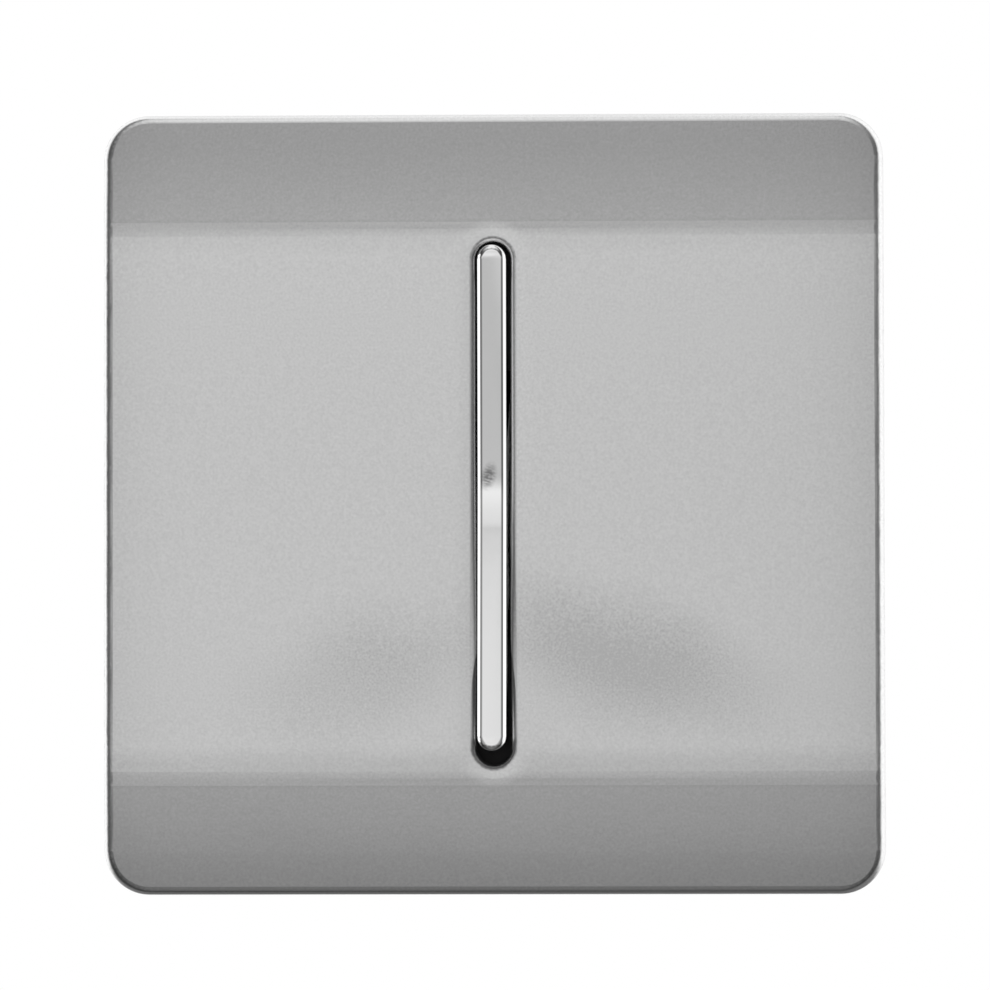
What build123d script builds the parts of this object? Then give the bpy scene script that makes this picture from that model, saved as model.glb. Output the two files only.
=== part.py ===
"""Rocker light switch: one gang, two way, with a clip-on screwless front plate and a slim rocker.

Millimetres. X runs to the right and Z up. The wall plane is y = 0: the room is on its -Y side and the
wall box on its +Y side. The origin is the middle of the two fixing holes, in the wall plane.
Every moving piece stands as it does with the top of the rocker pressed in.
"""
from build123d import *
from math import cos, radians, sin, sqrt, tan
import os

# Allowances of the drawing itself
through = 1.0  # how far a cut runs past the piece
pick = 0.01  # tolerance with which edges are chosen

# Front plate
plate_size = 87.0  # a one gang plate, square
plate_depth = 9.0  # wall to the middle of the front
plate_wall = 2.0
plate_corner = 5.2
plate_draft = 2.0  # degrees, of the side walls
plate_edge_round = 1.1
plate_crown_radius = 1300.0  # the middle of the front is very slightly domed
band_height = 13.1  # edge of the plate to each soft crease
crease_blend = 18.0
band_slope = 8.0  # degrees that the top and bottom bands fall back
band_crown_radius = 200.0  # they curve a little towards the plate's edge
rim_clearance = 0.3  # the plate's rim stops short of the wall, so that the frame pulls tight
plate_rib_spread = 15.0
plate_rib_thickness = 1.2
plate_rib_root = 0.5  # how far a rib is let into the wall
plate_rib_length = 54.0
plate_rib_height = 1.6
pry_notch_width = 8.0
pry_notch_height = 1.2

# Slot in the front plate, and the fin of the rocker that stands in it
fin_length = 56.0
fin_width = 3.2
slot_end_clearance = 0.85
slot_side_clearance = 0.28
slot_lip_round = 0.8
slot_shoulder_width = 1.6  # the plate dips by a few degrees round the slot
slot_shoulder_depth = 0.12
fin_proud = 0.7  # how far the lowest point of the rocker's face stands out of the plate
fin_face_slope = 3.5  # degrees, each half of the dished face
fin_dish_radius = 55.0
fin_edge_round = 0.6
fin_frame_clearance = 0.45  # behind the fin's pressed end
rocker_tilt = 3.5  # degrees each side of level
pivot_depth = 0.5  # wall plane to the rocker's axis, on the room side

# Hub of the rocker, hidden behind the plate
hub_length = 25.0
hub_width = 10.0
hub_plate_clearance = 0.6
hub_crown_radius = 60.0
hub_end_rear = 2.0  # wall plane to the hub's end corners, on the room side
hub_rear = 1.8  # wall plane to the back of the hub, on the box side
hub_rear_length = 14.0
hub_edge_round = 0.5
trunnion_radius = 2.0
trunnion_recess = 0.3  # the trunnions end this far inside the ears
bearing_clearance = 0.05
shoulder_clearance = 0.2
rocker_side_play = 0.12  # the rocker lies this far to the left in its ears
barrel_wall = 1.4
barrel_length = 7.5  # pivot to the barrel's mouth

# Spring plunger inside the rocker
plunger_radius = 2.1
plunger_clearance = 0.08
plunger_wall = 0.55
plunger_length = 8.2
plunger_end_wall = 1.0
plunger_recess = 0.2  # the piston's shoulder stands this far inside the barrel's mouth
nose_radius = 1.2
bore_depth = 4.0  # pivot to the blind end of the bore, towards the room
spring_wire = 0.35
spring_turns = 5
spring_wire_sides = 8
spring_clearance = 0.1

# Moving contact, rocking on the edge of the common strip
fulcrum_depth = 12.0  # wall plane to the knife edge
contact_tilt = 7.0  # degrees each side of level
contact_arm = 10.0  # knife edge to the middle of each contact tip
blade_thickness = 0.8
blade_width = 5.0
blade_overhang = 1.8
groove_depth = 0.4
groove_gap = 0.15
nose_gap = 0.2
tip_radius = 1.5
tip_height = 0.8
tip_dome_radius = 6.0
tip_shank_radius = 0.8
tip_shank_clearance = 0.04
tip_closing_radius = 1.2
tip_closing_height = 0.3
closed_gap = 0.05

# Brass strips and their bends
strip_thickness = 0.8
strip_bend = 1.2
strip_width = 5.0
arm_width = 4.0
arm_corner = 3.0
knife_height = 1.1
common_arm_height = 4.4
strip_rise = 3.8  # upper contact to the bend of its strip
arm_rise = 1.7  # that bend to the middle of the strip's arm
tab_drop = 4.2  # lower contact to the tabs
arm_gap = 0.3  # upper arm to the wall above it
tip_landing = 1.9  # middle of a fixed tip to the end of its strip

# Terminals along the lower side
terminal_pitch = 10.0
terminal_depth = 9.5  # wall plane to the conductor bores
conductor_radius = 1.75
block_width = 7.6
block_length = 8.5
block_front = 3.0  # bore axis to the block's room side
block_rear = 5.25  # bore axis to the block's screw side
block_edge = 0.5
bore_end_wall = 1.0
spigot_radius = 1.2
spigot_clearance = 0.04
rivet_radius = 1.7
rivet_height = 0.5
tab_reach = 2.4  # bore axis to the end of a strip's tab
terminal_screw_radius = 1.65
thread_clearance = 0.05
terminal_screw_rest = 0.15  # bore wall to the screw's tip when it is backed out
terminal_head_radius = 2.9
terminal_head_height = 2.0
terminal_travel = 2.8
terminal_screw_bevel = 0.4
drive_slot_width = 0.9
drive_slot_depth = 1.0

# Switch body, which stands in the wall box
body_width = 34.0
body_depth = 20.0
body_wall = 1.4
body_floor = 1.5
body_corner = 2.5
body_rear_round = 1.0
ledge_width = 1.0
flange_thickness = 2.6
flange_width = 30.0
flange_reach = 7.4  # how far the flange stands past the body, above and below
flange_corner = 3.0
piece_gap = 0.2  # between moulded pieces that sit in one another
chimney_wall = 0.9
entry_clearance = 0.55
entry_chamfer = 0.6
guide_width = 1.2
guide_length = 3.2
guide_overlap = 2.5  # how far the guides reach past the knife edge

# Cover of the switch body, which carries the rocker
cover_face = 3.0
cover_floor = 1.6
cover_rim = 1.4
cover_front_gap = 0.1
ear_thickness = 2.5
ear_wall = 1.6
ear_base = 10.0
throat_width = 3.3
throat_mouth = 1.1
barrel_clearance = 0.4
barrel_opening_corner = 1.8
block_peg = 5.0

# Screws that hold the body to the frame
body_screw_spread = 11.0
body_screw_edge = 4.0  # end of the flange to the screws
body_screw_radius = 1.2
body_screw_hole = 1.5
body_screw_grip = 0.05  # clearance of the screws in the frame's bosses
body_screw_point = 0.4
body_screw_bevel = 0.6
body_screw_head = 2.6
body_screw_head_height = 1.8
body_screw_tip_gap = 0.2
boss_wall = 1.9

# Mounting frame behind the front plate
frame_side_gap = 0.5  # to the inside of the plate
frame_thickness = 2.5
frame_depth = 4.6
frame_wall = 1.8
frame_recess = 0.8  # wall plane to the back of the frame's web, inside its rim
frame_corner = 3.5
aperture_width = 20.0
aperture_height = 30.0
aperture_corner = 2.0
fixing_spread = 60.3  # between the two fixing holes
fixing_hole_radius = 2.0
fixing_slot_length = 7.0
fixing_head_radius = 4.0
fixing_head_recess = 1.0
fixing_pad_wall = 1.6
fixing_pad_height = 0.8
frame_rib_thickness = 1.2
frame_rib_height = 1.4
frame_rib_spread = 13.0

# Clips that hold the front plate on the frame
clip_spread = 22.0
clip_edge = 7.3  # edge of the plate to the middle of the clips
clip_width = 6.0
clip_thickness = 1.4
clip_barb = 0.9
clip_barb_length = 1.1
clip_tip = 0.6  # wall plane to the clip's end
clip_gap = 0.2

# Worked out from the sizes above
plate_half = plate_size / 2
crease_height = plate_half - band_height
clip_height = plate_half - clip_edge
inner_face = plate_depth - plate_wall
slot_length = fin_length + 2 * slot_end_clearance
slot_width = fin_width + 2 * slot_side_clearance
fin_half = fin_length / 2
face_depth = plate_depth + fin_proud
face_rise = fin_half * tan(radians(fin_face_slope))
ear_inner = hub_width / 2 + shoulder_clearance
bearing_radius = trunnion_radius + bearing_clearance
bore_radius = plunger_radius + plunger_clearance
barrel_radius = bore_radius + barrel_wall
barrel_mouth = barrel_length - pivot_depth
blade_rear = fulcrum_depth + groove_depth - groove_gap
blade_front = blade_rear - blade_thickness
tip_face = blade_rear + tip_height
contact_depth = (
    fulcrum_depth
    + contact_arm * sin(radians(contact_tilt))
    + (tip_face - fulcrum_depth) * cos(radians(contact_tilt))
    + closed_gap
)
contact_height = (
    contact_arm * cos(radians(contact_tilt))
    - (tip_face - fulcrum_depth) * sin(radians(contact_tilt))
)
contact_strip_front = contact_depth + tip_height
contact_strip_depth = contact_strip_front + strip_thickness / 2
floor_depth = body_depth - body_floor
floor_middle = body_depth - body_floor / 2
strip_depth = floor_depth - strip_thickness / 2
bend_limit = (strip_depth - contact_strip_depth) / 2
offset_bend = min(strip_bend, bend_limit - pick)
upper_strip_height = contact_height + strip_rise
upper_arm_height = upper_strip_height + arm_rise
body_top = upper_arm_height + arm_width / 2 + arm_gap + ledge_width + body_wall
tab_height = -contact_height - tab_drop
block_top = tab_height - strip_thickness / 2
block_bottom = block_top - block_length
body_bottom = block_bottom - piece_gap - body_wall
tab_end = terminal_depth - tab_reach
screw_height = block_top - bore_end_wall - (block_length - bore_end_wall) / 2
screw_seat = terminal_depth + block_rear
pocket_half = block_width / 2 + piece_gap
pocket_top = block_top - piece_gap
cover_back = cover_face + cover_floor
cover_half = body_width / 2 - body_wall - piece_gap
frame_half = plate_half - plate_wall - frame_side_gap
flange_top = body_top + flange_reach
flange_bottom = body_bottom - flange_reach
terminals = {"l1": -terminal_pitch, "l2": 0.0, "com": terminal_pitch}
body_screws_at = [
    (side * body_screw_spread, height)
    for side in (-1, 1)
    for height in (flange_top - body_screw_edge, flange_bottom + body_screw_edge)
]
pivot = Axis((0, -pivot_depth, 0), (1, 0, 0))
fulcrum = Axis((0, fulcrum_depth, 0), (1, 0, 0))


def along_x(sketch, left, right):
    """A sketch in Y and Z, made solid between two places across."""
    return extrude(Plane.YZ.offset(left) * sketch, right - left)


def along_y(sketch, front, rear, taper=0):
    """A sketch in X and Z, made solid between two depths, and narrowing to the front by the taper."""
    return extrude(Plane.XZ.offset(-rear) * sketch, rear - front, taper=taper)


def along_z(sketch, low, high):
    """A sketch in X and Y, made solid between two heights."""
    return extrude(Plane.XY.offset(low) * sketch, high - low)


def between(first, second):
    """A rectangle from its limits along its two directions."""
    across = Pos((first[0] + first[1]) / 2, (second[0] + second[1]) / 2)
    return across * Rectangle(first[1] - first[0], second[1] - second[0])


def rounded_between(first, second, radius):
    """The same rectangle, with rounded corners."""
    across = Pos((first[0] + first[1]) / 2, (second[0] + second[1]) / 2)
    return across * RectangleRounded(first[1] - first[0], second[1] - second[0], radius)


def polygon(*points):
    """A flat face inside straight edges."""
    return make_face(Polyline(*points, close=True))


def turned(*points):
    """A round piece about the Y axis, from radius and depth pairs."""
    return revolve(polygon(*points), Axis.Y)


def plate_form(half, front):
    """The form of the plate or its hollow: a faint dome, two curved bands that fall back, drafted sides."""
    crease_depth = front - plate_crown_radius + sqrt(plate_crown_radius**2 - crease_height**2)
    edge = half + through
    edge_depth = crease_depth - (edge - crease_height) * tan(radians(band_slope))
    bulge = (edge - crease_height) ** 2 / (8 * band_crown_radius)
    middle_depth = (crease_depth + edge_depth) / 2 + bulge
    middle = (crease_height + edge) / 2
    outline = ThreePointArc((-crease_depth, crease_height), (-front, 0), (-crease_depth, -crease_height))
    outline += Polyline((-edge_depth, -edge), (0, -edge), (0, edge), (-edge_depth, edge))
    for side in (-1, 1):
        crease = (-crease_depth, side * crease_height)
        outline += ThreePointArc(crease, (-middle_depth, side * middle), (-edge_depth, side * edge))
    side_view = make_face(outline)
    creases = side_view.vertices().filter_by(lambda v: abs(abs(v.Y) - crease_height) < pick)
    side_view = fillet(creases, crease_blend)
    corner = plate_corner - (plate_half - half)
    sides = RectangleRounded(2 * half, 2 * half, corner)
    return along_y(sides, -front - through, -rim_clearance, plate_draft) & along_x(side_view, -edge, edge)


def clip():
    """One hook of the plate at the upper edge, with its catch turned outwards."""
    low = clip_height - clip_thickness / 2
    high = clip_height + clip_thickness / 2
    catch = -clip_tip - clip_barb_length
    hook = polygon(
        (-inner_face, low),
        (-clip_tip, low),
        (-clip_tip, high),
        (catch, high + clip_barb),
        (catch, high),
        (-inner_face, high),
    )
    return along_x(hook, -clip_width / 2, clip_width / 2)


def slot_mouth(shell):
    """The edges at the front end of the slot's wall."""
    return shell.edges().filter_by(
        lambda e: e.center().Y < -(plate_depth + inner_face) / 2
        and abs(e.center().X) < slot_width / 2 + pick
        and abs(e.center().Z) < slot_length / 2 + pick
    )


def front_plate():
    """A thin moulded shell with a rolled-in slot for the rocker, and ribs and clips on its inside."""
    outer = plate_form(plate_half, plate_depth)
    rim = outer.edges().filter_by(
        lambda e: e.center().Y < -plate_depth / 2
        and max(abs(e.center().X), abs(e.center().Z)) > plate_half - plate_corner
    )
    outer = fillet(rim, plate_edge_round)
    shell = outer - plate_form(plate_half - plate_wall, inner_face)
    opening = SlotOverall(slot_length, slot_width, rotation=90)
    shell -= along_y(opening, -plate_depth - through, -inner_face + through)
    dome = shell.faces().sort_by(Axis.Y)[0]
    shell = chamfer(slot_mouth(shell), slot_shoulder_width, slot_shoulder_depth, reference=dome)
    shell = fillet(slot_mouth(shell), slot_lip_round)
    rib = Rectangle(plate_rib_thickness, plate_rib_length)
    rib = along_y(rib, -inner_face - plate_rib_root, -inner_face + plate_rib_height)
    for side in (-1, 1):
        shell += Pos(side * plate_rib_spread, 0, 0) * rib
        shell += Pos(side * clip_spread, 0, 0) * clip()
        shell += Pos(side * clip_spread, 0, 0) * mirror(clip(), Plane.XY)
    notch = between((-pry_notch_width / 2, pry_notch_width / 2), (-rim_clearance - pry_notch_height, through))
    return shell - along_z(notch, -plate_half - through, -plate_half + plate_wall + through)


def flange_outline():
    """The outline of the body's flange, and of the seat for it on the back of the frame."""
    return rounded_between((-flange_width / 2, flange_width / 2), (flange_bottom, flange_top), flange_corner)


def mounting_frame():
    """The moulded frame that is screwed to the wall box: a rimmed web with slots, clip windows and bosses."""
    outline = RectangleRounded(2 * frame_half, 2 * frame_half, frame_corner)
    inside = 2 * (frame_half - frame_wall)
    well = RectangleRounded(inside, inside, frame_corner - frame_wall)
    frame = along_y(outline, -frame_thickness, -frame_recess) + along_y(outline - well, -frame_depth, 0)
    frame += along_y(flange_outline(), -frame_thickness, 0)
    rib_front = -frame_thickness - frame_rib_height
    reach = frame_half - frame_wall / 2
    rib = (-frame_rib_thickness / 2, frame_rib_thickness / 2)
    for side in (-1, 1):
        beside = between(sorted((side * aperture_width / 2, side * reach)), rib)
        above = between(rib, sorted((side * aperture_height / 2, side * reach)))
        for step in (-1, 1):
            frame += along_y(Pos(0, step * frame_rib_spread) * beside, rib_front, -frame_recess)
            frame += along_y(Pos(step * frame_rib_spread, 0) * above, rib_front, -frame_recess)
    straight = fixing_slot_length - 2 * fixing_hole_radius
    pad_radius = fixing_head_radius + fixing_pad_wall
    pad_front = -frame_thickness - fixing_pad_height
    for side in (-1, 1):
        place = Pos(side * fixing_spread / 2, 0)
        frame += along_y(place * SlotOverall(straight + 2 * pad_radius, 2 * pad_radius), pad_front, 0)
        recess = place * SlotOverall(straight + 2 * fixing_head_radius, 2 * fixing_head_radius)
        frame -= along_y(recess, pad_front - through, pad_front + fixing_head_recess)
        hole = place * SlotOverall(fixing_slot_length, 2 * fixing_hole_radius)
        frame -= along_y(hole, pad_front - through, through)
    for place in body_screws_at:
        frame += along_y(Pos(*place) * Circle(body_screw_radius + boss_wall), -frame_depth, 0)
        hole = Pos(*place) * Circle(body_screw_radius + body_screw_grip)
        frame -= along_y(hole, -frame_depth - through, through)
    aperture = RectangleRounded(aperture_width, aperture_height, aperture_corner)
    frame -= along_y(aperture, -frame_depth - through, through)
    low = clip_height - clip_thickness / 2 - clip_gap
    high = clip_height + clip_thickness / 2 + clip_gap
    half_width = clip_width / 2 + clip_gap
    for side in (-1, 1):
        for end in (-1, 1):
            place = Pos(side * clip_spread, 0)
            window = between((-half_width, half_width), sorted((end * (low - clip_barb), end * high)))
            catch = between((-half_width, half_width), sorted((end * low, end * (high + clip_barb))))
            frame -= along_y(place * window, -frame_depth - through, through)
            frame -= along_y(place * catch, -clip_tip - clip_barb_length - clip_gap, through)
    return frame


def fin():
    """The slim blade of the rocker that a finger presses: a dished face between two rounded ends."""
    rear_middle = frame_thickness + fin_frame_clearance
    rear_end = rear_middle + fin_half * tan(radians(rocker_tilt))
    side_view = polygon(
        (-face_depth, 0),
        (-face_depth - face_rise, fin_half),
        (-rear_end, fin_half),
        (-rear_middle, 0),
        (-rear_end, -fin_half),
        (-face_depth - face_rise, -fin_half),
    )
    dish = side_view.vertices().filter_by(lambda v: abs(v.Y) < pick and v.X < -rear_end)
    side_view = fillet(dish, fin_dish_radius)
    outline = SlotOverall(fin_length, fin_width, rotation=90)
    blank = along_y(outline, -face_depth - face_rise - through, 0)
    blank &= along_x(side_view, -fin_width, fin_width)
    rim = blank.edges().filter_by(
        lambda e: e.center().Y < -face_depth + pick
        and (abs(e.center().X) > fin_width / 4 or abs(e.center().Z) > fin_half - fin_width)
    )
    return fillet(rim, fin_edge_round)


def hub():
    """The rocker's hub under the plate: a crowned block with the trunnions and the plunger's barrel."""
    half = hub_length / 2
    hub_front = inner_face - hub_plate_clearance
    end_front = hub_front - hub_crown_radius + sqrt(hub_crown_radius**2 - half**2)
    crown = ThreePointArc((-end_front, half), (-hub_front, 0), (-end_front, -half))
    back = Polyline(
        (-end_front, -half),
        (-hub_end_rear, -half),
        (hub_rear, -hub_rear_length / 2),
        (hub_rear, hub_rear_length / 2),
        (-hub_end_rear, half),
        (-end_front, half),
    )
    block = along_x(make_face(crown + back), -hub_width / 2, hub_width / 2)
    upright = block.edges().filter_by(lambda e: e.center().Y < -hub_end_rear - pick)
    block = fillet(upright, hub_edge_round)
    trunnion_end = ear_inner + ear_thickness - trunnion_recess
    trunnion = along_x(Pos(-pivot_depth, 0) * Circle(trunnion_radius), -trunnion_end, trunnion_end)
    trunnion = chamfer(trunnion.edges(), trunnion_recess)
    return block + trunnion + along_y(Circle(barrel_radius), -pivot_depth, barrel_mouth)


def at_rest(piece):
    """A piece of the level rocker, turned until its upper end is pressed in and moved to its shoulder."""
    return Pos(-rocker_side_play, 0, 0) * piece.rotate(pivot, -rocker_tilt)


def rocker():
    """The plated rocker in one piece: fin, hub, trunnions and barrel, with a blind bore for the plunger."""
    piece = hub() + fin()
    piece -= along_y(Circle(bore_radius), -pivot_depth - bore_depth, barrel_mouth + through)
    return at_rest(piece)


def plunger_sizes():
    """Depths in the level rocker of the plunger's end, shoulder and nose, which stops short of the blade."""
    total = cos(radians(rocker_tilt + contact_tilt))
    blade = (fulcrum_depth + pivot_depth) * cos(radians(contact_tilt)) - (fulcrum_depth - blade_front)
    nose = (blade - nose_radius - nose_gap) / total + nose_radius - pivot_depth
    shoulder = barrel_mouth - plunger_recess
    return shoulder - plunger_length, shoulder, nose


def plunger():
    """A hollow moulded piston with a round nose that slides over the moving contact."""
    end, shoulder, nose = plunger_sizes()
    step = plunger_radius - nose_radius
    body = turned(
        (0, end),
        (plunger_radius, end),
        (plunger_radius, shoulder),
        (nose_radius, shoulder + step),
        (0, shoulder + step),
    )
    stem = make_face(
        Polyline((0, shoulder), (nose_radius, shoulder), (nose_radius, nose - nose_radius))
        + CenterArc((0, nose - nose_radius), nose_radius, 0, 90)
        + Line((0, nose), (0, shoulder))
    )
    pocket = turned(
        (0, end - through),
        (plunger_radius - plunger_wall, end - through),
        (plunger_radius - plunger_wall, shoulder - plunger_end_wall),
        (0, shoulder - plunger_end_wall),
    )
    return at_rest(body + revolve(stem, Axis.Y) - pocket)


def plunger_spring():
    """The compression spring between the blind end of the bore and the plunger's pocket."""
    _, shoulder, _ = plunger_sizes()
    margin = spring_clearance + spring_wire / 2
    low = -pivot_depth - bore_depth + margin
    high = shoulder - plunger_end_wall - margin
    coil_radius = plunger_radius - plunger_wall - margin
    pitch = (high - low) / spring_turns
    coil = Helix(pitch, high - low, coil_radius, center=(0, low, 0), direction=(0, 1, 0))
    wire = Plane(origin=coil @ 0, z_dir=coil % 0) * RegularPolygon(spring_wire / 2, spring_wire_sides)
    return at_rest(sweep(wire, path=coil, is_frenet=True))


def contact_rivet(seat, grip):
    """A domed silver contact, riveted through a strip: its seat is at this depth and it faces the box."""
    sag = tip_dome_radius - sqrt(tip_dome_radius**2 - tip_radius**2)
    crown = ThreePointArc(
        (tip_radius, seat + tip_height - sag),
        (tip_radius / 2, seat + tip_height - tip_dome_radius + sqrt(tip_dome_radius**2 - tip_radius**2 / 4)),
        (0, seat + tip_height),
    )
    closing = seat - grip - tip_closing_height
    rest = Polyline(
        (0, seat + tip_height),
        (0, closing),
        (tip_closing_radius, closing),
        (tip_closing_radius, seat - grip),
        (tip_shank_radius, seat - grip),
        (tip_shank_radius, seat),
        (tip_radius, seat),
        (tip_radius, seat + tip_height - sag),
    )
    return revolve(make_face(crown + rest), Axis.Y)


def contact_rocker():
    """The moving contact: a brass blade with a groove that rocks on the knife edge."""
    blade = along_y(
        SlotOverall(2 * (contact_arm + blade_overhang), blade_width, rotation=90), blade_front, blade_rear
    )
    groove = polygon(
        (blade_rear - groove_depth, 0),
        (blade_rear + through, groove_depth + through),
        (blade_rear + through, -groove_depth - through),
    )
    blade -= along_x(groove, -blade_width, blade_width)
    for side in (-1, 1):
        hole = Pos(0, side * contact_arm) * Circle(tip_shank_radius + tip_shank_clearance)
        blade -= along_y(hole, blade_front - through, blade_rear + through)
    return blade.rotate(fulcrum, contact_tilt)


def moving_tips():
    """The two silver tips riveted in the ends of the moving contact."""
    tip = contact_rivet(blade_rear, blade_thickness)
    tips = [(Pos(0, 0, side * contact_arm) * tip).rotate(fulcrum, contact_tilt) for side in (-1, 1)]
    return Compound(children=tips)


def fixed_tip(side):
    """The silver tip riveted in one fixed strip, facing the moving contact."""
    tip = contact_rivet(-contact_strip_front, strip_thickness)
    return Pos(0, 0, side * contact_height) * tip.rotate(Axis.X, 180)


def tab(x):
    """The upright end of a strip against a terminal block, with the hole for the block's spigot."""
    path = FilletPolyline(
        (strip_depth, tab_height + arm_width),
        (strip_depth, tab_height),
        (tab_end, tab_height),
        radius=strip_bend,
    )
    return along_x(trace(path, strip_thickness), x - arm_width / 2, x + arm_width / 2) - spigot_hole(x)


def spigot_hole(x):
    """The hole for a terminal block's spigot."""
    hole = Pos(x, terminal_depth) * Circle(spigot_radius + spigot_clearance)
    return along_z(hole, tab_height - strip_thickness, tab_height + strip_thickness)


def floor_arm(height, x):
    """A flat arm on the floor of the body, from the middle out to a terminal and down to its block."""
    path = FilletPolyline((0, height), (x, height), (x, tab_height + strip_bend), radius=arm_corner)
    return along_y(trace(path, arm_width), floor_depth - strip_thickness, floor_depth)


def common_strip():
    """The common strip: a knife edge for the moving contact, an arm on the floor and a tab."""
    upright = FilletPolyline(
        (fulcrum_depth + knife_height, 0),
        (strip_depth, 0),
        (strip_depth, common_arm_height),
        radius=strip_bend,
    )
    knife = polygon(
        (fulcrum_depth, 0),
        (fulcrum_depth + knife_height, strip_thickness / 2),
        (fulcrum_depth + knife_height, -strip_thickness / 2),
    )
    stand = along_x(trace(upright, strip_thickness) + knife, -strip_width / 2, strip_width / 2)
    return stand + floor_arm(common_arm_height, terminals["com"]) + tab(terminals["com"])


def tip_hole(side):
    """The hole for a fixed tip's shank."""
    hole = Pos(0, side * contact_height) * Circle(tip_shank_radius + tip_shank_clearance)
    return along_y(hole, contact_strip_front - through, contact_strip_front + strip_thickness + through)


def contact_strip_l1():
    """The strip of the upper contact, which runs down the side of the body to its terminal."""
    path = FilletPolyline(
        (contact_strip_depth, contact_height - tip_landing),
        (contact_strip_depth, upper_strip_height),
        (strip_depth, upper_strip_height),
        (strip_depth, upper_arm_height + arm_width / 2),
        radius=offset_bend,
    )
    bracket = along_x(trace(path, strip_thickness), -strip_width / 2, strip_width / 2)
    return bracket + floor_arm(upper_arm_height, terminals["l1"]) + tab(terminals["l1"]) - tip_hole(1)


def contact_strip_l2():
    """The strip of the lower contact, which is bent straight up to its terminal."""
    path = FilletPolyline(
        (contact_strip_depth, -contact_height + tip_landing),
        (contact_strip_depth, tab_height),
        (tab_end, tab_height),
        radius=strip_bend,
    )
    bracket = along_x(trace(path, strip_thickness), -strip_width / 2, strip_width / 2)
    return bracket - spigot_hole(terminals["l2"]) - tip_hole(-1)


def terminal_block(x):
    """A brass tunnel terminal: a blind conductor bore, a tapped hole and a spigot riveted over its strip."""
    section = rounded_between(
        (x - block_width / 2, x + block_width / 2), (terminal_depth - block_front, screw_seat), block_edge
    )
    block = along_z(section, block_bottom, block_top)
    centre = Pos(x, terminal_depth)
    rivet_seat = block_top + strip_thickness
    block += along_z(centre * Circle(spigot_radius), block_top, rivet_seat + rivet_height)
    block += along_z(centre * Circle(rivet_radius), rivet_seat, rivet_seat + rivet_height)
    block -= along_z(centre * Circle(conductor_radius), block_bottom - through, block_top - bore_end_wall)
    thread = Pos(x, screw_height) * Circle(terminal_screw_radius + thread_clearance)
    return block - along_y(thread, terminal_depth, screw_seat + through)


def terminal_screw(x):
    """A captive terminal screw, backed out so that its bore is free."""
    tip = terminal_depth + conductor_radius + terminal_screw_rest
    seat = screw_seat + terminal_travel + piece_gap
    end = seat + terminal_head_height
    bevel = terminal_screw_bevel
    screw = turned(
        (0, tip),
        (terminal_screw_radius - bevel, tip),
        (terminal_screw_radius, tip + bevel),
        (terminal_screw_radius, seat),
        (terminal_head_radius, seat),
        (terminal_head_radius, end - bevel),
        (terminal_head_radius - bevel, end),
        (0, end),
    )
    drive = Rectangle(2 * (terminal_head_radius + through), drive_slot_width)
    screw -= along_y(drive, end - drive_slot_depth, end + through)
    return Pos(x, 0, screw_height) * screw


def switch_body():
    """The moulded box in the wall: a stepped mouth for the cover, three terminal pockets and a floor."""
    width = (-body_width / 2, body_width / 2)
    body = along_y(rounded_between(width, (body_bottom, body_top), body_corner), 0, body_depth)
    rear = body.edges().filter_by(lambda e: e.center().Y > body_depth - pick)
    body = fillet(rear, body_rear_round)
    body += along_y(flange_outline(), 0, flange_thickness)
    mouth_half = body_width / 2 - body_wall
    mouth = rounded_between(
        (-mouth_half, mouth_half), (body_bottom + body_wall, body_top - body_wall), body_corner - body_wall
    )
    body -= along_y(mouth, -through, cover_back)
    chamber_half = mouth_half - ledge_width
    chamber = between((-chamber_half, chamber_half), (pocket_top, body_top - body_wall - ledge_width))
    body -= along_y(chamber, cover_back - through, floor_depth)
    for x in terminals.values():
        pocket = between((x - pocket_half, x + pocket_half), (body_bottom + body_wall, pocket_top + through))
        body -= along_y(pocket, cover_back - through, floor_depth)
    chimney = terminal_head_radius + piece_gap
    for x in terminals.values():
        place = Pos(x, screw_height)
        seat = screw_seat + piece_gap
        body += along_y(place * Circle(chimney + chimney_wall), seat, floor_middle)
        body -= along_y(place * Circle(chimney), seat - through, body_depth + through)
        entry = Pos(x, terminal_depth) * Circle(conductor_radius + entry_clearance)
        body -= along_z(entry, body_bottom - through, body_bottom + body_wall + through)
        funnel = Pos(x, terminal_depth) * Circle(conductor_radius + entry_clearance + entry_chamfer)
        body -= extrude(Plane.XY.offset(body_bottom) * funnel, entry_chamfer, taper=45)
    for side in (-1, 1):
        guide_middle = side * (blade_width / 2 + piece_gap + guide_width / 2)
        guide = Pos(guide_middle, 0) * Rectangle(guide_width, guide_length)
        body += along_y(guide, fulcrum_depth - guide_overlap, floor_middle)
        post = Pos(0, side * contact_height) * Rectangle(arm_width, 2 * tip_radius)
        post_front = contact_strip_front + strip_thickness
        body += along_y(post, post_front, floor_middle)
        relief = Pos(0, side * contact_height) * Circle(tip_closing_radius + piece_gap)
        body -= along_y(relief, post_front - through, post_front + tip_closing_height + piece_gap)
    for place in body_screws_at:
        body -= along_y(Pos(*place) * Circle(body_screw_hole), -through, flange_thickness + through)
    return body


def ear():
    """One bearing of the rocker, with a throat that its trunnion snaps in through."""
    top = bearing_radius + ear_wall
    side_view = Pos(-pivot_depth, 0) * Circle(top)
    side_view += polygon(
        (cover_back, -ear_base / 2), (-pivot_depth, -top), (-pivot_depth, top), (cover_back, ear_base / 2)
    )
    side_view -= Pos(-pivot_depth, 0) * Circle(bearing_radius)
    lead = -pivot_depth - top
    side_view -= polygon(
        (-pivot_depth, -throat_width / 2),
        (lead + throat_mouth, -throat_width / 2),
        (lead - through, -throat_width / 2 - throat_mouth - through),
        (lead - through, throat_width / 2 + throat_mouth + through),
        (lead + throat_mouth, throat_width / 2),
        (-pivot_depth, throat_width / 2),
    )
    return along_x(side_view, ear_inner, ear_inner + ear_thickness)


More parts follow.
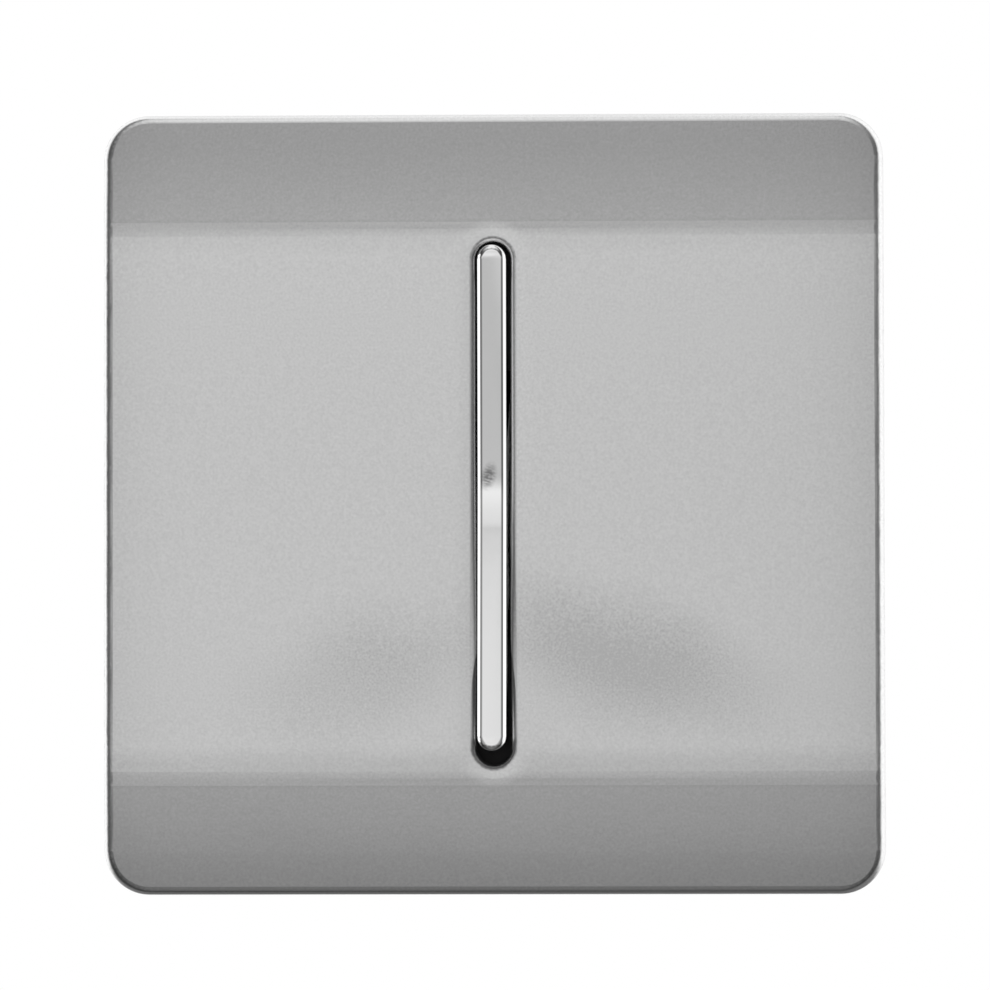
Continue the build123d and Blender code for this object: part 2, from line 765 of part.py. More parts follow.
def switch_cover():
    """The tray in the body's mouth: it closes the contact chamber and carries the rocker in two ears."""
    low = body_bottom + body_wall + piece_gap
    high = body_top - body_wall - piece_gap
    corner = body_corner - body_wall
    outline = rounded_between((-cover_half, cover_half), (low, high), corner)
    inside = between((-cover_half + cover_rim, cover_half - cover_rim), (low + cover_rim, high - cover_rim))
    cover = along_y(outline, cover_front_gap, cover_back)
    cover -= along_y(inside, -through, cover_face)
    swing = barrel_length * sin(radians(rocker_tilt))
    reach = barrel_radius + barrel_clearance
    opening = RectangleRounded(2 * reach, 2 * (reach + swing), barrel_opening_corner)
    cover -= along_y(opening, cover_face - through, cover_back + through)
    cover += ear() + mirror(ear(), Plane.YZ)
    for x in terminals.values():
        peg = Pos(x, screw_height) * Rectangle(block_peg, block_peg)
        cover += along_y(peg, cover_face, terminal_depth - block_front - piece_gap)
    return cover


def body_screws():
    """The four self-tapping screws that pull the body's flange against the frame."""
    tip = -frame_depth + body_screw_tip_gap
    end = flange_thickness + body_screw_head_height
    screw = turned(
        (0, tip),
        (body_screw_point, tip),
        (body_screw_radius, tip + body_screw_radius),
        (body_screw_radius, flange_thickness),
        (body_screw_head, flange_thickness),
        (body_screw_head, end - body_screw_bevel),
        (body_screw_head - body_screw_bevel, end),
        (0, end),
    )
    return Compound(children=[Pos(x, 0, z) * screw for x, z in body_screws_at])


pieces = {
    "front_plate": front_plate(),
    "mounting_frame": mounting_frame(),
    "body_screws": body_screws(),
    "switch_body": switch_body(),
    "switch_cover": switch_cover(),
    "rocker": rocker(),
    "plunger": plunger(),
    "plunger_spring": plunger_spring(),
    "contact_rocker": contact_rocker(),
    "moving_tips": moving_tips(),
    "contact_tip_l1": fixed_tip(1),
    "contact_tip_l2": fixed_tip(-1),
    "contact_strip_l1": contact_strip_l1(),
    "contact_strip_l2": contact_strip_l2(),
    "common_strip": common_strip(),
}
for name, place in terminals.items():
    pieces[f"terminal_block_{name}"] = terminal_block(place)
    pieces[f"terminal_screw_{name}"] = terminal_screw(place)

os.makedirs("parts", exist_ok=True)
for name, piece in pieces.items():
    export_step(piece, f"parts/{name}.step")
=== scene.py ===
"""The looks of a slim rocker light switch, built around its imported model. Metres, +Z up, the room on -Y."""

import math

import bmesh
import bpy
from mathutils import Matrix, Vector


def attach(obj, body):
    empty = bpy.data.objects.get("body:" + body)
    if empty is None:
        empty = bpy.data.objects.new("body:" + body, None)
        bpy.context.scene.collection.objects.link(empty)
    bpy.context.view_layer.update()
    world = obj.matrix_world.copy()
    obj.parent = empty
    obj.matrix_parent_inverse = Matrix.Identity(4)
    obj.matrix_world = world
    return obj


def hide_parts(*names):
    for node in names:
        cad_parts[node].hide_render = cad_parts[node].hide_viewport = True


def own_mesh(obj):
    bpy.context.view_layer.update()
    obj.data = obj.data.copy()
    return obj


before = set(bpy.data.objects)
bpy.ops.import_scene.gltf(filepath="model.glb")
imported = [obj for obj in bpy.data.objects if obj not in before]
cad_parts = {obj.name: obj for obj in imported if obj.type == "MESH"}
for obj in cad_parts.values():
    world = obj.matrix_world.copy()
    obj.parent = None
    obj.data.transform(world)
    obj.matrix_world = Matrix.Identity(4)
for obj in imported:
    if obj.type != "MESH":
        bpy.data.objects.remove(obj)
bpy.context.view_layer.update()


# Camera
# A long lens looks almost square at the front, a little from the right and from below. The plate fills
# four fifths of the picture.
mm = 0.001
camera_distance = 0.7
camera_yaw = math.radians(1.665)
camera_pitch = math.radians(-1.674)
camera_roll = math.radians(-0.128)
camera_target = Vector((0.205, -9.0, 0.882)) * mm
lens_mm = 230.3

towards_camera = Vector((
    math.sin(camera_yaw) * math.cos(camera_pitch),
    -math.cos(camera_yaw) * math.cos(camera_pitch),
    math.sin(camera_pitch),
))
camera_data = bpy.data.cameras.new("camera")
camera_data.lens = lens_mm
camera_data.sensor_width = 36
camera_data.clip_start = 0.01
camera = bpy.data.objects.new("camera", camera_data)
bpy.context.scene.collection.objects.link(camera)
camera.matrix_world = (
    Matrix.Translation(camera_target + camera_distance * towards_camera)
    @ (-towards_camera).to_track_quat("-Z", "Y").to_matrix().to_4x4()
    @ Matrix.Rotation(camera_roll, 4, "Z")
)
bpy.context.scene.camera = camera


# Studio
# Diffuse light is level from all round. What the metal mirrors is a white room behind the object, and in
# front of it softboxes round the camera, above and at both sides, with dark gaps between them.
def feed(tree, socket, value):
    """Gives a socket a number, or links the result of another node to it."""
    if isinstance(value, (int, float)):
        socket.default_value = value
    else:
        tree.links.new(value, socket)


def math_node(tree, operation, *values):
    """A Math node fed by results or numbers, and its own result."""
    node = tree.nodes.new("ShaderNodeMath")
    node.operation = operation
    for socket, value in zip(node.inputs, values):
        feed(tree, socket, value)
    return node.outputs[0]


def blend_numbers(tree, share, first, second):
    """A number that goes from the first to the second as the share goes from 0 to 1."""
    node = tree.nodes.new("ShaderNodeMix")
    for name, value in (("Factor", share), ("A", first), ("B", second)):
        feed(tree, node.inputs[name], value)
    return node.outputs["Result"]


def brightness_by_angle(tree, angle, span, stops):
    """A brightness that depends on an angle, given by stops of degrees and level over a span."""
    place = math_node(tree, "DIVIDE", math_node(tree, "SUBTRACT", angle, span[0]), span[1] - span[0])
    node = tree.nodes.new("ShaderNodeValToRGB")
    points = node.color_ramp.elements
    while len(points) < len(stops):
        points.new(0.5)
    brightest = 2.0
    for point, (degrees, level) in zip(points, stops):
        point.position = (degrees - span[0]) / (span[1] - span[0])
        point.color = (level / brightest, level / brightest, level / brightest, 1)
    tree.links.new(place, node.inputs["Fac"])
    return math_node(tree, "MULTIPLY", node.outputs["Color"], brightest)


# the softboxes in front, by degrees above the horizon and by degrees to the right of the front
up_down = (-90, 90)
over_height = (
    (-90, 0.08), (-75, 0.12), (-60, 0.17), (-40, 0.18), (-28, 0.15), (-22, 0.17), (-18, 0.26), (-14, 0.43),
    (-10, 0.48), (-7, 0.62), (-5.2, 0.74), (-3.5, 0.89), (-1, 0.87), (1, 0.6), (4, 0.5), (5.5, 0.68),
    (7, 0.92), (9, 0.88), (11, 0.82), (13.6, 0.78), (14.6, 0.74), (15.4, 0.42), (17.5, 0.25), (21, 0.24),
    (25, 0.27), (30, 0.42), (36, 0.75), (45, 0.95), (90, 1.0),
)
all_round = (-180, 180)
across = (
    (-180, 1.0), (-130, 1.3), (-105, 1.3), (-95, 0.7), (-85, 0.1), (-70, 0.11), (-56, 0.2), (-43, 0.42),
    (-31, 0.68), (-20, 0.9), (-10, 1.06), (-2, 1.06), (8, 0.92), (20, 0.74), (34, 0.38), (46, 0.22),
    (58, 0.2), (68, 0.6), (76, 1.3), (110, 1.3), (180, 1.0),
)
# one more softbox hangs above the front, another at the zenith, and the white room starts at the sides
one_side = (0, 180)
above_rise = ((0, 0.0), (30, 0.0), (50, 1.0), (90, 1.0))
above_edge = ((0, 1.0), (28, 1.0), (48, 0.0), (180, 0.0))
zenith_rise = ((0, 0.0), (68, 0.0), (82, 1.0), (90, 1.0))
room_edge = ((0, 0.0), (64, 0.0), (88, 1.0), (180, 1.0))
room_foot = ((-90, 0.0), (-35, 0.0), (-18, 1.0), (90, 1.0))
room_light = 0.8

world = bpy.data.worlds.new("studio")
world.use_nodes = True
bpy.context.scene.world = world
studio = world.node_tree
studio.nodes.clear()
towards = studio.nodes.new("ShaderNodeSeparateXYZ")
studio.links.new(studio.nodes.new("ShaderNodeTexCoord").outputs["Generated"], towards.inputs[0])
to_right, to_back, to_top = towards.outputs
to_front = math_node(studio, "MULTIPLY", to_back, -1.0)
elevation = math_node(studio, "DEGREES", math_node(studio, "ARCSINE", to_top))
azimuth = math_node(studio, "DEGREES", math_node(studio, "ARCTAN2", to_right, to_front))
off_axis = math_node(studio, "ABSOLUTE", azimuth)
tall = brightness_by_angle(studio, elevation, up_down, over_height)
wide = brightness_by_angle(studio, azimuth, all_round, across)
above = brightness_by_angle(studio, elevation, up_down, above_rise)
in_front = brightness_by_angle(studio, off_axis, one_side, above_edge)
zenith = brightness_by_angle(studio, elevation, up_down, zenith_rise)
overhead = math_node(studio, "MAXIMUM", math_node(studio, "MULTIPLY", above, in_front), zenith)
sideways = math_node(studio, "MAXIMUM", wide, overhead)
behind = brightness_by_angle(studio, off_axis, one_side, room_edge)
not_below = brightness_by_angle(studio, elevation, up_down, room_foot)
in_room = math_node(studio, "MULTIPLY", behind, not_below)
mirrored = math_node(studio, "MULTIPLY", blend_numbers(studio, in_room, tall, 1.0), sideways)

rays = studio.nodes.new("ShaderNodeLightPath")
open_white = math_node(
    studio, "MAXIMUM", rays.outputs["Is Camera Ray"], rays.outputs["Is Transmission Ray"]
)
strength = blend_numbers(studio, rays.outputs["Is Glossy Ray"], room_light, mirrored)
strength = blend_numbers(studio, open_white, strength, 1.0)
background = studio.nodes.new("ShaderNodeBackground")
background.inputs["Color"].default_value = (1, 1, 1, 1)
studio.links.new(strength, background.inputs["Strength"])
studio.links.new(background.outputs[0], studio.nodes.new("ShaderNodeOutputWorld").inputs["Surface"])


def softbox(name, place, size, power):
    """A square soft lamp that faces the object, and that the metal doesn't mirror."""
    data = bpy.data.lights.new(name, "AREA")
    data.size = size
    data.energy = power
    lamp = bpy.data.objects.new(name, data)
    bpy.context.scene.collection.objects.link(lamp)
    aim = (-Vector(place)).to_track_quat("-Z", "Y").to_matrix().to_4x4()
    lamp.matrix_world = Matrix.Translation(place) @ aim
    lamp.visible_glossy = False
    return lamp


softbox("lamp_front", place=(-0.5, -0.6, 0.7), size=0.5, power=2.5)
softbox("lamp_rear", place=(0.6, 0.5, 0.4), size=0.6, power=2.0)

# the floor lies well below the plate, out of the camera's view and of what the metal mirrors
floor_height = -0.4
floor_half = 0.3
floor_corners = ((-1, -1), (1, -1), (1, 1), (-1, 1))
floor_mesh = bpy.data.meshes.new("floor")
floor_mesh.from_pydata(
    [(x * floor_half, y * floor_half, floor_height) for x, y in floor_corners], [], [(0, 1, 2, 3)],
)
floor = bpy.data.objects.new("floor", floor_mesh)
bpy.context.scene.collection.objects.link(floor)
floor_paint = bpy.data.materials.new("floor")
floor_paint.use_nodes = True
paint = floor_paint.node_tree.nodes["Principled BSDF"]
paint.inputs["Base Color"].default_value = (0.88, 0.88, 0.88, 1)
paint.inputs["Roughness"].default_value = 0.9
floor_mesh.materials.append(floor_paint)
floor.visible_glossy = False


# Front plate
# A moulded shell under a satin silver coating with a fine pebbled grain, clipped on the frame. Its front
# rolls off faintly towards the sides and the slot, and two darker patches below the middle are painted
# into its colour as a painted dark reflection.
def finish(name):
    """A new material: its node tree, its Principled shader and the place of each point in metres."""
    material = bpy.data.materials.new(name)
    material.use_nodes = True
    tree = material.node_tree
    place = tree.nodes.new("ShaderNodeTexCoord").outputs["Object"]
    return material, tree, tree.nodes["Principled BSDF"], place


def noise(tree, place, size, detail=2.0):
    """Even noise with lumps of about a size in metres."""
    node = tree.nodes.new("ShaderNodeTexNoise")
    node.inputs["Scale"].default_value = 1 / size
    node.inputs["Detail"].default_value = detail
    tree.links.new(place, node.inputs["Vector"])
    return node.outputs["Fac"]


def swing(tree, lumps, amount):
    """How far a noise lies from its middle, times an amount."""
    return math_node(tree, "MULTIPLY", math_node(tree, "SUBTRACT", lumps, 0.5), amount)


def ease(tree, value, low, high):
    """A smooth step from 0 to 1 as a value goes from low to high."""
    node = tree.nodes.new("ShaderNodeMapRange")
    node.interpolation_type = "SMOOTHSTEP"
    node.inputs["From Min"].default_value = low
    node.inputs["From Max"].default_value = high
    tree.links.new(value, node.inputs["Value"])
    return node.outputs["Result"]


def remainder(tree, share):
    """What a share leaves of 1."""
    return math_node(tree, "SUBTRACT", 1.0, share)


def raise_surface(tree, shader, height, depth):
    """Adds a relief of some depth in metres on top of the relief that the shader has."""
    bump = tree.nodes.new("ShaderNodeBump")
    bump.inputs["Distance"].default_value = depth
    tree.links.new(height, bump.inputs["Height"])
    if shader.inputs["Normal"].is_linked:
        tree.links.new(shader.inputs["Normal"].links[0].from_socket, bump.inputs["Normal"])
    tree.links.new(bump.outputs["Normal"], shader.inputs["Normal"])


def colour_between(tree, shader, share, dark, light):
    """Colours the shader between two colours by a share."""
    node = tree.nodes.new("ShaderNodeMix")
    node.data_type = "RGBA"
    node.inputs["A"].default_value = (*dark, 1)
    node.inputs["B"].default_value = (*light, 1)
    tree.links.new(share, node.inputs["Factor"])
    tree.links.new(node.outputs["Result"], shader.inputs["Base Color"])


def stretched(tree, place, middle, size, tilt):
    """The place of each point of the front, seen from a middle, turned by a tilt and measured in a size."""
    node = tree.nodes.new("ShaderNodeMapping")
    node.vector_type = "TEXTURE"
    node.inputs["Location"].default_value = (middle[0], 0, middle[1])
    node.inputs["Rotation"].default_value = (0, tilt, 0)
    node.inputs["Scale"].default_value = (size[0], 1, size[1])
    tree.links.new(place, node.inputs["Vector"])
    return node.outputs["Vector"]


def length(tree, first, second):
    """The length of a line that runs so far one way and so far square to it."""
    squares = [math_node(tree, "MULTIPLY", side, side) for side in (first, second)]
    return math_node(tree, "SQRT", math_node(tree, "ADD", *squares))


def patch(tree, place, middle, half_size, tilt, softness):
    """How much of a soft oval patch lies at a point of the front: 1 in its middle, 0 outside."""
    within = tree.nodes.new("ShaderNodeSeparateXYZ")
    tree.links.new(stretched(tree, place, middle, half_size, tilt), within.inputs[0])
    from_centre = length(tree, within.outputs["X"], within.outputs["Z"])
    return remainder(tree, ease(tree, from_centre, 1 - softness, 1 + softness))


def finish_node(node, material):
    """Gives a node of the model its finish."""
    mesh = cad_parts[node].data
    mesh.materials.clear()
    mesh.materials.append(material)


satin_silver, tree, shader, place = finish("satin_silver")
shader.inputs["Metallic"].default_value = 1.0
shader.inputs["Roughness"].default_value = 0.26

grain_size = 0.26 * mm
grain_depth = 0.0016 * mm
pebble_size = 1.1 * mm
pebble_depth = 0.003 * mm
wave_size = 9 * mm
wave_depth = 0.02 * mm
grain = noise(tree, place, grain_size, detail=1.0)
pebbles = noise(tree, place, pebble_size, detail=1.0)
waves = noise(tree, place, wave_size, detail=1.0)
raise_surface(tree, shader, grain, grain_depth)
raise_surface(tree, shader, pebbles, pebble_depth)
raise_surface(tree, shader, waves, wave_depth)

# the creases begin softly before the bands
crease_lead_in = (26.8 * mm, 31.6 * mm)
crease_depth = 0.13 * mm
across_plate = tree.nodes.new("ShaderNodeSeparateXYZ")
tree.links.new(place, across_plate.inputs[0])
from_centre_line = across_plate.outputs["X"]
from_middle = math_node(tree, "ABSOLUTE", across_plate.outputs["Z"])
raise_surface(tree, shader, remainder(tree, ease(tree, from_middle, *crease_lead_in)), crease_depth)

# the front falls away faintly to both sides, and a little more near its edges
side_reach = 38 * mm
side_fall = 0.35 * mm
side_roll = 0.19 * mm
fallen = math_node(tree, "POWER", math_node(tree, "DIVIDE", from_centre_line, side_reach), 2.0)
raise_surface(tree, shader, remainder(tree, fallen), side_fall)
raise_surface(tree, shader, remainder(tree, math_node(tree, "POWER", fallen, 4.0)), side_roll)

# the dip round the slot begins without a kink
slot_half_straight = 26.97 * mm
dip_edge = 3.48 * mm
dip_softness = 1.1 * mm
dip_relief = 0.021 * mm
past_end = math_node(tree, "MAXIMUM", math_node(tree, "SUBTRACT", from_middle, slot_half_straight), 0.0)
from_slot = length(tree, from_centre_line, past_end)
from_dip = math_node(tree, "ABSOLUTE", math_node(tree, "SUBTRACT", from_slot, dip_edge))
nearness = math_node(tree, "MAXIMUM", remainder(tree, math_node(tree, "DIVIDE", from_dip, dip_softness)), 0.0)
raise_surface(tree, shader, remainder(tree, math_node(tree, "MULTIPLY", nearness, nearness)), dip_relief)

# two soft patches below the middle are painted darker as a painted dark reflection; their outlines wander
# and their grain shows more
stray = 5 * mm
stray_size = 11 * mm
patch_tilt = math.radians(18)
patch_softness = 0.98
left_patch_share = 0.6
wander = tree.nodes.new("ShaderNodeTexNoise")
wander.inputs["Scale"].default_value = 1 / stray_size
wander.inputs["Detail"].default_value = 1.5
tree.links.new(place, wander.inputs["Vector"])
shifted = tree.nodes.new("ShaderNodeVectorMath")
shifted.operation = "MULTIPLY_ADD"
tree.links.new(wander.outputs["Color"], shifted.inputs[0])
shifted.inputs[1].default_value = (stray, 0, stray)
tree.links.new(place, shifted.inputs[2])
strayed = shifted.outputs["Vector"]
right_patch = patch(
    tree, strayed, middle=(16.5 * mm, -14.5 * mm), half_size=(12 * mm, 4.8 * mm), tilt=patch_tilt,
    softness=patch_softness,
)
left_patch = patch(
    tree, strayed, middle=(-10.5 * mm, -15.5 * mm), half_size=(10 * mm, 4.8 * mm), tilt=-patch_tilt,
    softness=patch_softness,
)
# the two patches together make the painted dark reflection on the front
painted_dark_patches = math_node(tree, "MAXIMUM", right_patch, math_node(tree, "MULTIPLY", left_patch, left_patch_share))

# the silver's colour follows the painted dark patches, the grain, the pebbles and the waves
darker_silver = (0.59, 0.59, 0.59)
lighter_silver = (0.81, 0.81, 0.81)
base_lightness = 0.8
grain_contrast = 0.72
patch_grain_gain = 1.5
pebble_contrast = 0.1
wave_contrast = 0.03
coarser = math_node(tree, "ADD", 1.0, math_node(tree, "MULTIPLY", painted_dark_patches, patch_grain_gain))
fine = math_node(tree, "MULTIPLY", swing(tree, grain, grain_contrast), coarser)
coarse = swing(tree, pebbles, pebble_contrast)
broad = swing(tree, waves, wave_contrast)
lightness = math_node(tree, "SUBTRACT", base_lightness, math_node(tree, "MULTIPLY", painted_dark_patches, base_lightness))
for unevenness in (fine, coarse, broad):
    lightness = math_node(tree, "ADD", lightness, unevenness)
colour_between(tree, shader, lightness, darker_silver, lighter_silver)
finish_node("front_plate", satin_silver)


# Rocker
# A moulding under bright chrome plating that turns in the ears of the switch's cover. A finger presses its
# slim fin, and a darker spot near the middle of the fin is a painted dark reflection. This piece is the
# model's own rocker, with the round of the fin's edge drawn as the narrow bevel that the plating shows.
rocker_tilt = math.radians(3.5)
rocker_pivot = Vector((0, -0.5, 0)) * mm
rocker_shift = Vector((-0.12, 0, 0)) * mm
fin_half_width = 1.6 * mm
fin_half_straight = 26.4 * mm
fin_rear = -8.6 * mm
edge_round = 0.6 * mm
hair = 0.002 * mm
merge_distance = 1e-7
sharp_turn = math.radians(30)
# steps along the round, and how many mm the bevel lies from the fin's side and under its face there
side_bevel = (
    (0, 0, 0.6), (1, 0, 0.46), (2, 0.004, 0.425), (3, 0.02, 0.392), (4, 0.05, 0.365), (5, 0.3, 0.14),
    (6, 0.335, 0.109), (7, 0.36, 0.0905), (8, 0.39, 0.0765), (9, 0.54, 0.0105), (10, 0.58, 0), (11, 0.6, 0),
)
end_bevel = (
    (0, 0, 0.6), (1, 0, 0.42), (2, 0, 0.33), (3, 0.012, 0.275), (4, 0.05, 0.226), (5, 0.13, 0.129),
    (6, 0.16, 0.0955), (7, 0.2, 0.085), (8, 0.54, 0), (9, 0.56, 0), (10, 0.58, 0), (11, 0.6, 0),
)
# the side's bevel starts to turn into the end's where the edge faces this share of straight up or down,
# and has done so when the share has grown by the spread
end_starts = 0.35
end_spread = 0.45


def along(table, step):
    """How far a bevel lies from the side and under the face at a step along the round."""
    before = table[int(step)]
    after = table[int(step) + 1]
    share = step - before[0]
    return [(a + share * (b - a)) * mm for a, b in zip(before[1:], after[1:])]


def on_bevel(point):
    """Where a point of the fin's rounded edge lies on the bevel. Any other point stays."""
    turn = Matrix.Rotation(rocker_tilt, 4, "X")
    upright = turn @ (point - rocker_shift - rocker_pivot) + rocker_pivot
    nearest_straight = max(-fin_half_straight, min(fin_half_straight, upright.z))
    outward = Vector((upright.x, 0, upright.z - nearest_straight))
    inset = fin_half_width - outward.length
    if upright.y > fin_rear or not hair < inset < edge_round - hair:
        return point
    angle = math.acos(1 - inset / edge_round)
    step = angle / (math.pi / 2) * (len(side_bevel) - 1)
    end_share = max(0, min(1, (abs(outward.z) / outward.length - end_starts) / end_spread))
    new_inset, new_depth = [
        (1 - end_share) * at_side + end_share * at_end
        for at_side, at_end in zip(along(side_bevel, step), along(end_bevel, step))
    ]
    upright += outward.normalized() * (inset - new_inset)
    upright.y += new_depth - edge_round * (1 - math.sin(angle))
    return turn.inverted() @ (upright - rocker_pivot) + rocker_pivot + rocker_shift


merged = bmesh.new()
merged.from_mesh(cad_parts["rocker"].data)
bmesh.ops.remove_doubles(merged, verts=merged.verts, dist=merge_distance)
for vertex in merged.verts:
    vertex.co = on_bevel(vertex.co)
rocker_mesh = bpy.data.meshes.new("rocker_plated")
merged.to_mesh(rocker_mesh)
merged.free()
rocker_mesh.shade_smooth()
rocker_mesh.set_sharp_from_angle(angle=sharp_turn)
rocker = bpy.data.objects.new("rocker_plated", rocker_mesh)
bpy.context.scene.collection.objects.link(rocker)
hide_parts("rocker")
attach(rocker, "rocker")

bright_chrome, tree, shader, place = finish("bright_chrome")
shader.inputs["Metallic"].default_value = 1.0
ripple_size = 4 * mm
ripple_depth = 0.004 * mm
streak_size = 0.6 * mm
streak_from = 0.15
streak_full = 0.6
painted_dark_chrome = (0.3, 0.3, 0.3)
plain_chrome = (0.87, 0.87, 0.87)
least_rough = 0.03
most_rough = 0.08
raise_surface(tree, shader, noise(tree, place, ripple_size, detail=1.0), ripple_depth)
streak_place = stretched(tree, place, middle=(0, 0), size=(1, 0.35), tilt=math.radians(18))
streaks = noise(tree, streak_place, streak_size, detail=3.0)
# a soft spot near the middle of the fin, broken up by the streaks, is painted darker as a painted dark
# reflection
painted_reflection_spot = patch(
    tree, place, middle=(-0.48 * mm, 2.95 * mm), half_size=(0.62 * mm, 1.15 * mm), tilt=math.radians(15),
    softness=0.7,
)
painted_dark_reflection = math_node(tree, "MULTIPLY", painted_reflection_spot, ease(tree, streaks, streak_from, streak_full))
# the chrome's colour darkens in that spot: painted dark reflection
colour_between(tree, shader, remainder(tree, painted_dark_reflection), painted_dark_chrome, plain_chrome)
tree.links.new(blend_numbers(tree, streaks, least_rough, most_rough), shader.inputs["Roughness"])
finish_node("rocker", bright_chrome)
rocker_mesh.materials.clear()
rocker_mesh.materials.append(bright_chrome)

# a strip light low on the left, flagged so that it reaches only the plated rocker, draws its left rim
rim_lamp = softbox("lamp_rim", place=(-0.5, -0.04, 0.03), size=0.12, power=0.16)
rim_lamp.data.shape = "RECTANGLE"
rim_lamp.data.size_y = 0.35
rim_lamp.visible_glossy = True
rim_lamp.visible_camera = False
lit_by_strip = bpy.data.collections.new("lit_by_strip")
lit_by_strip.objects.link(rocker)
rim_lamp.light_linking.receiver_collection = lit_by_strip


# Mounting frame and cover of the switch body
# Black moulded plastic with a fine spark texture. The frame is screwed to the wall box, and the cover
# closes the body and carries the rocker.
def moulded(name, colour, roughness, grain_size, grain_depth):
    """A moulded plastic with a fine texture and a faintly uneven colour."""
    material, tree, shader, place = finish(name)
    shader.inputs["Roughness"].default_value = roughness
    raise_surface(tree, shader, noise(tree, place, grain_size), grain_depth)
    cloud_size = 12 * mm
    darker = 0.93
    lighter = 1.07
    cloud = noise(tree, place, cloud_size)
    colour_between(tree, shader, cloud, [darker * c for c in colour], [lighter * c for c in colour])
    return material


black_plastic = moulded("black_plastic", (0.03, 0.03, 0.032), 0.45, 0.35 * mm, 0.008 * mm)
for node in ("mounting_frame", "switch_cover"):
    finish_node(node, black_plastic)


# Switch body
# An off-white moulded box that stands in the wall box and holds the contacts, with the three terminals
# along its lower side. Four screws fasten its flange to the frame.
white_plastic = moulded("white_plastic", (0.76, 0.76, 0.73), 0.4, 0.4 * mm, 0.008 * mm)
finish_node("switch_body", white_plastic)


# Plunger
# A small piston of natural nylon, moulded hollow round its spring. It slides in the rocker's barrel, and
# its round nose tips the blade over.
nylon = moulded("nylon", (0.84, 0.83, 0.78), 0.35, 0.25 * mm, 0.003 * mm)
finish_node("plunger", nylon)


# Contacts, terminals and screws
# Strips and blade are pressed from brass sheet, the blocks are sawn from brass bar, the contacts are
# silver rivets, and the screws are zinc-plated steel.
def bare_metal(name, colour, roughness, scratch_depth):
    """A worked metal with fine scratches and a faintly uneven colour."""
    material, tree, shader, place = finish(name)
    shader.inputs["Metallic"].default_value = 1.0
    shader.inputs["Roughness"].default_value = roughness
    scratch_width = 0.12 * mm
    drawn_share = 0.15
    drawn_out = tree.nodes.new("ShaderNodeMapping")
    drawn_out.inputs["Scale"].default_value = (1, drawn_share, drawn_share)
    tree.links.new(place, drawn_out.inputs["Vector"])
    scratches = noise(tree, drawn_out.outputs["Vector"], scratch_width, detail=3.0)
    raise_surface(tree, shader, scratches, scratch_depth)
    darker = 0.9
    lighter = 1.08
    colour_between(
        tree, shader, scratches, [darker * c for c in colour], [min(1, lighter * c) for c in colour]
    )
    return material


brass = bare_metal("brass", (0.78, 0.58, 0.27), 0.3, 0.002 * mm)
silver = bare_metal("silver", (0.85, 0.84, 0.81), 0.25, 0.001 * mm)
steel = bare_metal("zinc_plated_steel", (0.62, 0.62, 0.63), 0.32, 0.001 * mm)
for node in ("contact_strip_l1", "contact_strip_l2", "common_strip", "contact_rocker"):
    finish_node(node, brass)
for node in ("contact_tip_l1", "contact_tip_l2", "moving_tips"):
    finish_node(node, silver)
finish_node("body_screws", steel)
for end in ("l1", "l2", "com"):
    finish_node(f"terminal_block_{end}", brass)
    finish_node(f"terminal_screw_{end}", steel)


# Plunger spring
# A compression spring of zinc-plated round wire between the blind end of the rocker's bore and the bottom
# of the plunger's pocket. It shortens as the plunger slides in.
spring_wire = 0.35 * mm
spring_start = -4.225 * mm
spring_sizes = {"Coil radius": 1.275 * mm, "Wire radius": spring_wire / 2, "Turns": 5, "Length": 9.75 * mm}

winding = bpy.data.node_groups.new("wound_spring", "GeometryNodeTree")
winding.interface.new_socket("Geometry", in_out="OUTPUT", socket_type="NodeSocketGeometry")
for size in spring_sizes:
    winding.interface.new_socket(size, in_out="INPUT", socket_type="NodeSocketFloat")
given = winding.nodes.new("NodeGroupInput").outputs
spiral = winding.nodes.new("GeometryNodeCurveSpiral")
spiral.inputs["Resolution"].default_value = 28
winding.links.new(given["Turns"], spiral.inputs["Rotations"])
winding.links.new(given["Coil radius"], spiral.inputs["Start Radius"])
winding.links.new(given["Coil radius"], spiral.inputs["End Radius"])
winding.links.new(given["Length"], spiral.inputs["Height"])
wire = winding.nodes.new("GeometryNodeCurvePrimitiveCircle")
wire.inputs["Resolution"].default_value = 14
winding.links.new(given["Wire radius"], wire.inputs["Radius"])
drawn = winding.nodes.new("GeometryNodeCurveToMesh")
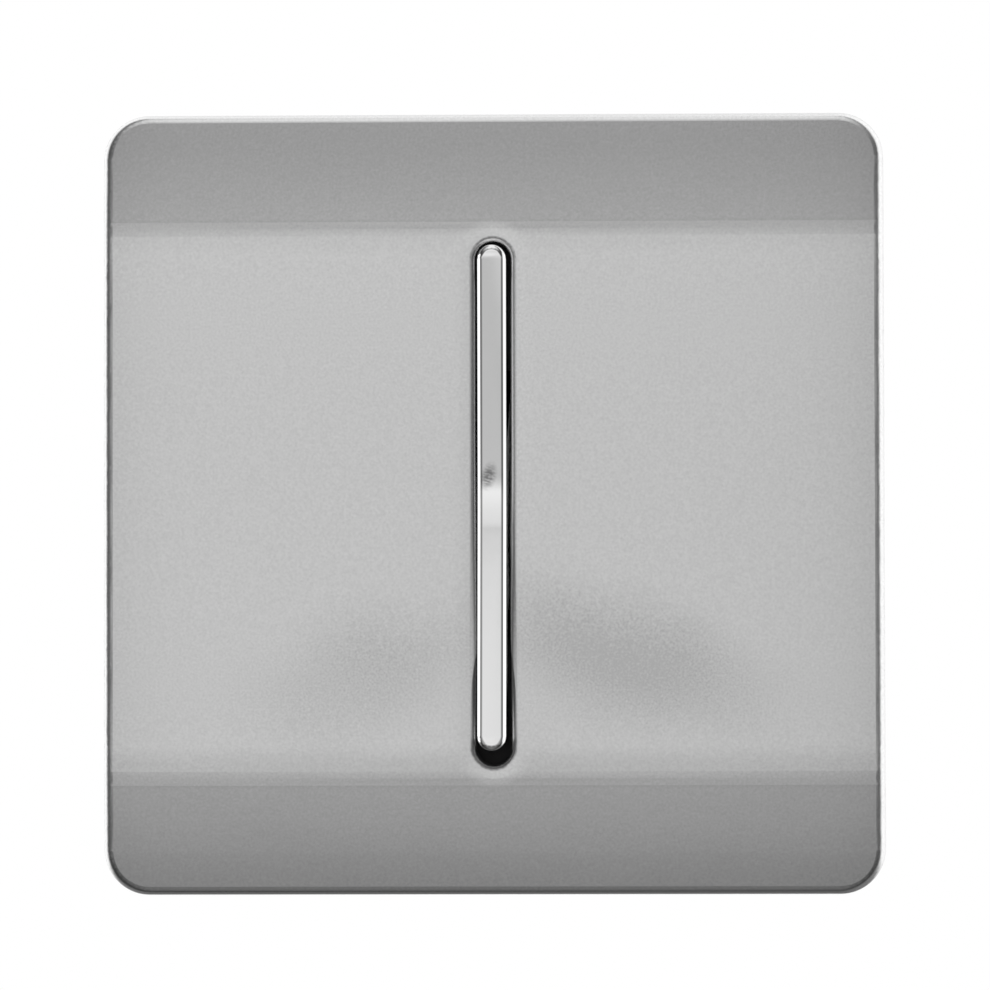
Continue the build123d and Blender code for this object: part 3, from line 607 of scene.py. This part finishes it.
drawn.inputs["Fill Caps"].default_value = True
winding.links.new(spiral.outputs["Curve"], drawn.inputs["Curve"])
winding.links.new(wire.outputs["Curve"], drawn.inputs["Profile Curve"])
realized = winding.nodes.new("GeometryNodeRealizeInstances")
winding.links.new(drawn.outputs["Mesh"], realized.inputs["Geometry"])
plated = winding.nodes.new("GeometryNodeSetMaterial")
plated.inputs["Material"].default_value = steel
winding.links.new(realized.outputs["Geometry"], plated.inputs["Geometry"])
winding.links.new(plated.outputs["Geometry"], winding.nodes.new("NodeGroupOutput").inputs["Geometry"])

spring = bpy.data.objects.new("plunger_spring_wire", bpy.data.meshes.new("plunger_spring_wire"))
bpy.context.scene.collection.objects.link(spring)
wound = spring.modifiers.new("wound_spring", "NODES")
wound.node_group = winding
for socket in winding.interface.items_tree:
    if socket.in_out == "INPUT":
        wound[socket.identifier] = float(spring_sizes[socket.name])
depsgraph = bpy.context.evaluated_depsgraph_get()
spring_mesh = bpy.data.meshes.new_from_object(spring.evaluated_get(depsgraph), depsgraph=depsgraph)
spring.modifiers.clear()
spring.data = spring_mesh

# the spring is wound upright, laid down along the barrel, and tilted with the rocker
into_barrel = (
    Matrix.Translation(rocker_shift + rocker_pivot)
    @ Matrix.Rotation(-rocker_tilt, 4, "X")
    @ Matrix.Translation(-rocker_pivot)
)
along_barrel = Matrix.Translation((0, spring_start, 0)) @ Matrix.Rotation(math.radians(-90), 4, "X")
spring_mesh.transform(into_barrel @ along_barrel)
turned_out = bmesh.new()
turned_out.from_mesh(spring_mesh)
bmesh.ops.recalc_face_normals(turned_out, faces=turned_out.faces)
turned_out.to_mesh(spring_mesh)
turned_out.free()
spring_mesh.shade_smooth()
spring_mesh.set_sharp_from_angle(angle=math.radians(40))
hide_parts("plunger_spring")
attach(spring, "rocker")
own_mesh(spring)
finish_node("plunger_spring", steel)


# Picture
# Colours are shown as they are.
bpy.context.scene.view_settings.view_transform = "Standard"
